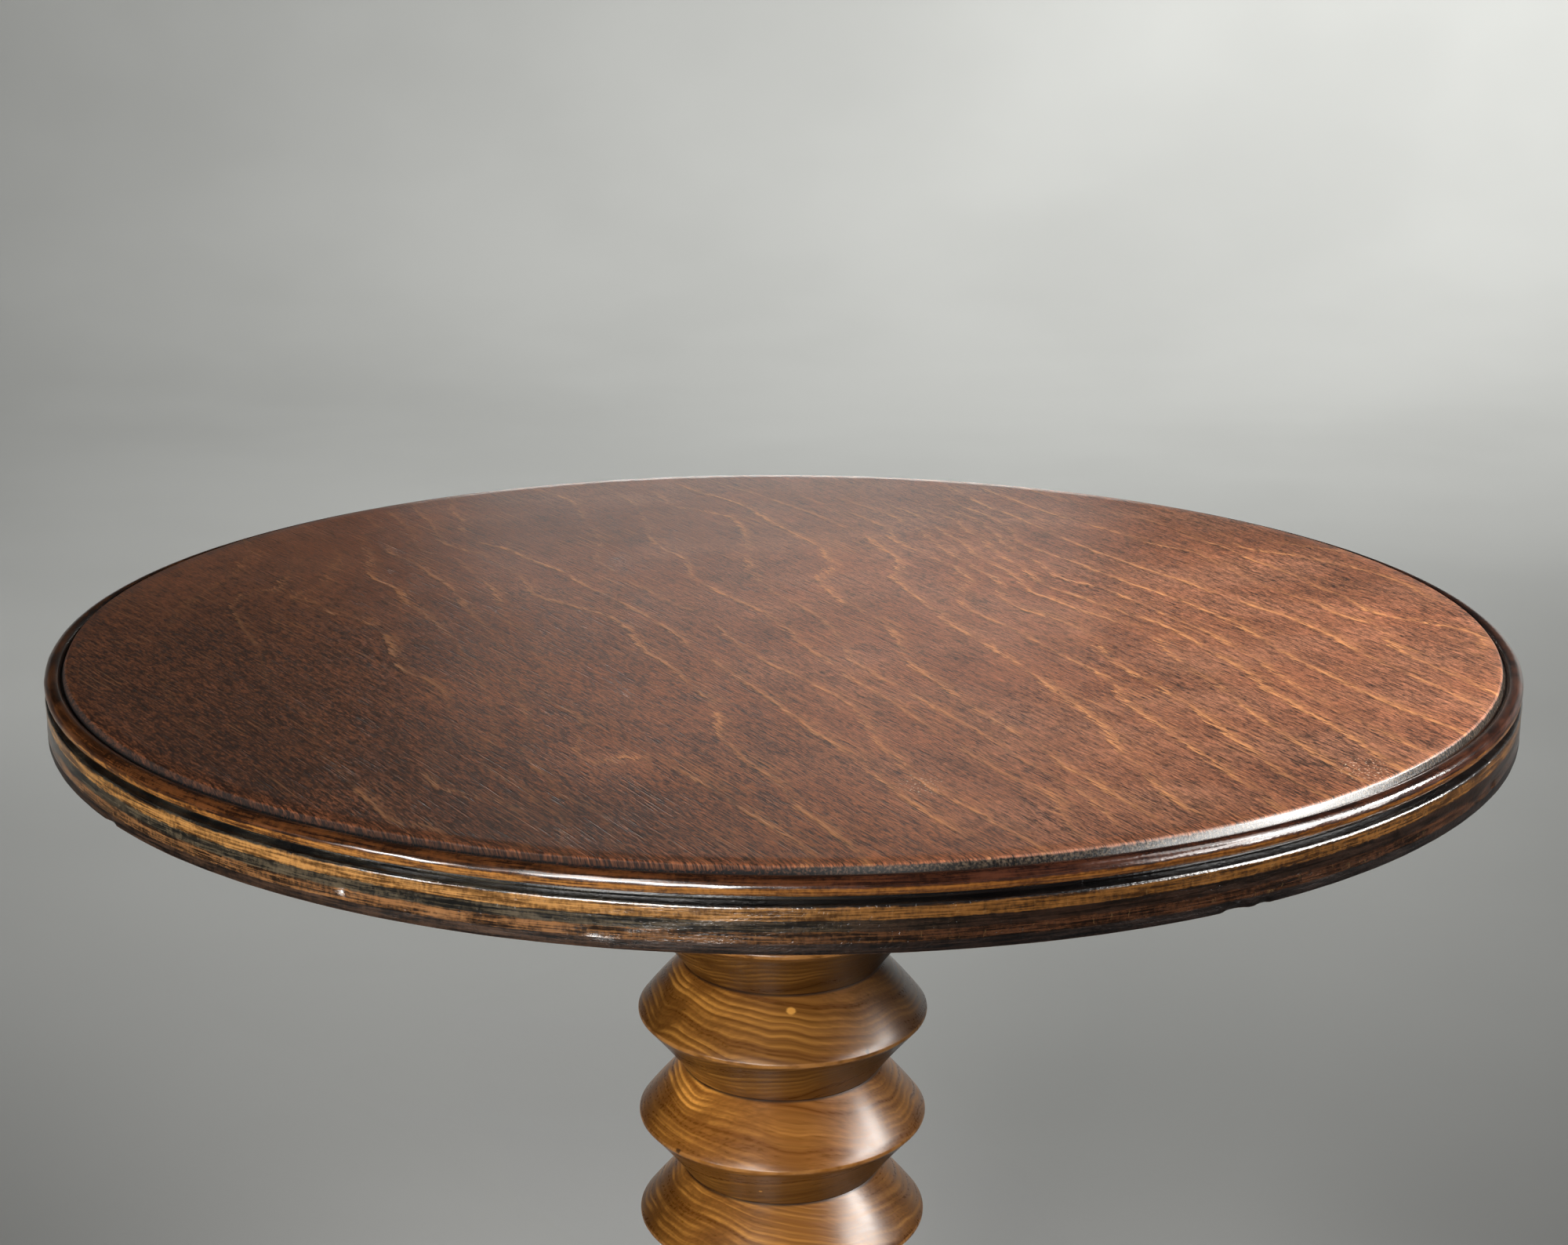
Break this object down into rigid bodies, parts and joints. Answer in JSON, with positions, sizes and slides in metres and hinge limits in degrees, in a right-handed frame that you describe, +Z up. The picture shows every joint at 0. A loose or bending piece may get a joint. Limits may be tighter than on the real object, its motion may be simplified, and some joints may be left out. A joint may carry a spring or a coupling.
{
  "type": "pedestal wine table",
  "caption": "Round wine table: plywood top with a beaded rim on a ridged, turned wooden column with arched tripod legs, for drinks or a lamp.",
  "frame": {"origin": "on the floor, under the axis of the column", "axes": "+Z up along the column, -Y towards the viewer of the picture, leg 1 points to +Y"},
  "size_m": [0.5, 0.5, 0.64],
  "materials": {
    "face_veneer": "mahogany-stained rotary-cut veneer, satin varnish",
    "light_core_veneer": "stained veneer edge, satin varnish",
    "dark_core_veneer": "dark stained end grain, satin varnish",
    "underside_veneer": "stained veneer, thin varnish",
    "bearer_wood": "stained solid wood, thin varnish",
    "turned_wood": "golden brown stain, satin varnish",
    "leg_wood": "golden brown stain, satin varnish",
    "raw_wood": "unfinished",
    "strap_steel": "blackened, worn at the edges",
    "screw_steel": "dulled",
    "glide_steel": "polished by use"
  },
  "bodies": {
    "root": {"top_ply_1_face": "face_veneer", "top_ply_2": "light_core_veneer", "top_ply_3": "dark_core_veneer", "top_ply_4": "light_core_veneer", "top_ply_5": "dark_core_veneer", "top_ply_6": "light_core_veneer", "top_ply_7_underside": "underside_veneer", "top_bearer": "bearer_wood", "bearer_screws": "screw_steel", "column": "turned_wood", "column_tenon_wedge": "raw_wood", "leg_1": "leg_wood", "leg_2": "leg_wood", "leg_3": "leg_wood", "leg_dowels": "raw_wood", "tripod_strap": "strap_steel", "strap_screws": "screw_steel", "foot_glide_1": "glide_steel", "foot_glide_2": "glide_steel", "foot_glide_3": "glide_steel"}
  },
  "joints": []
}
